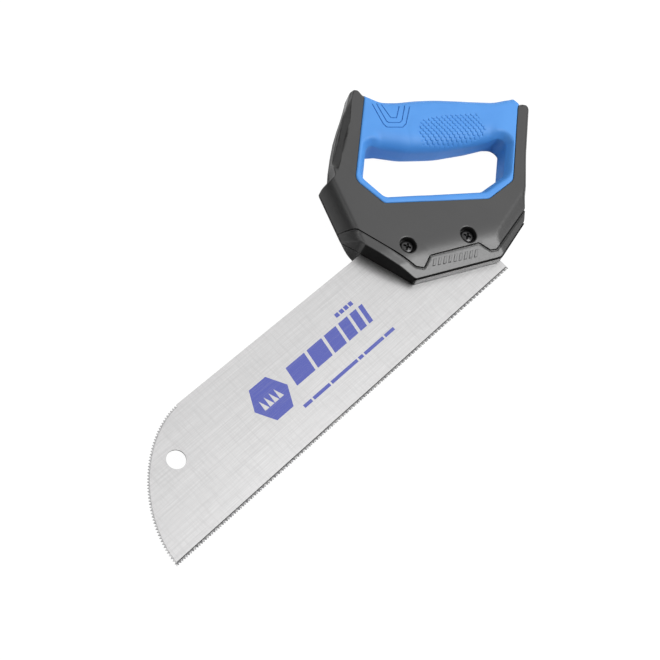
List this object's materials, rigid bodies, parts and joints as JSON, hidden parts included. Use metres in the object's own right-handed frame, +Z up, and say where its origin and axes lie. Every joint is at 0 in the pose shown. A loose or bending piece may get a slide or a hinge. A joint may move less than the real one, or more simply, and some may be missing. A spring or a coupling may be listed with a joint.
{
  "type": "drywall saw",
  "caption": "Drywall saw with a closed handle, a soft grip ring, and a bolted rectangular blade with fine teeth on the straight edge and on the curved nose; cuts thin board and panels.",
  "frame": {"origin": "centre of the underside of the saw lying flat on its side, on the surface it rests on", "axes": "+X along the cutting edge from the toe to the handle, +Y from the cutting edge towards the spine and the grip, +Z up, from the resting side to the visible side"},
  "size_m": [0.411, 0.1592, 0.0268],
  "materials": {
    "blade_steel": "fine grain along the cutting edge, lacquered",
    "black_plastic": "semi-matte moulded, fine texture",
    "blue_grip": "matte soft overmould with moulded patterns",
    "screw_steel": "black, cross recess",
    "nut_steel": "zinc plated"
  },
  "bodies": {
    "root": {"saw_blade": "blade_steel", "upper_handle_shell": "black_plastic", "lower_handle_shell": "black_plastic", "soft_grip": "blue_grip", "front_screw": "screw_steel", "rear_screw": "screw_steel", "front_hex_nut": "nut_steel", "rear_hex_nut": "nut_steel"}
  },
  "joints": []
}
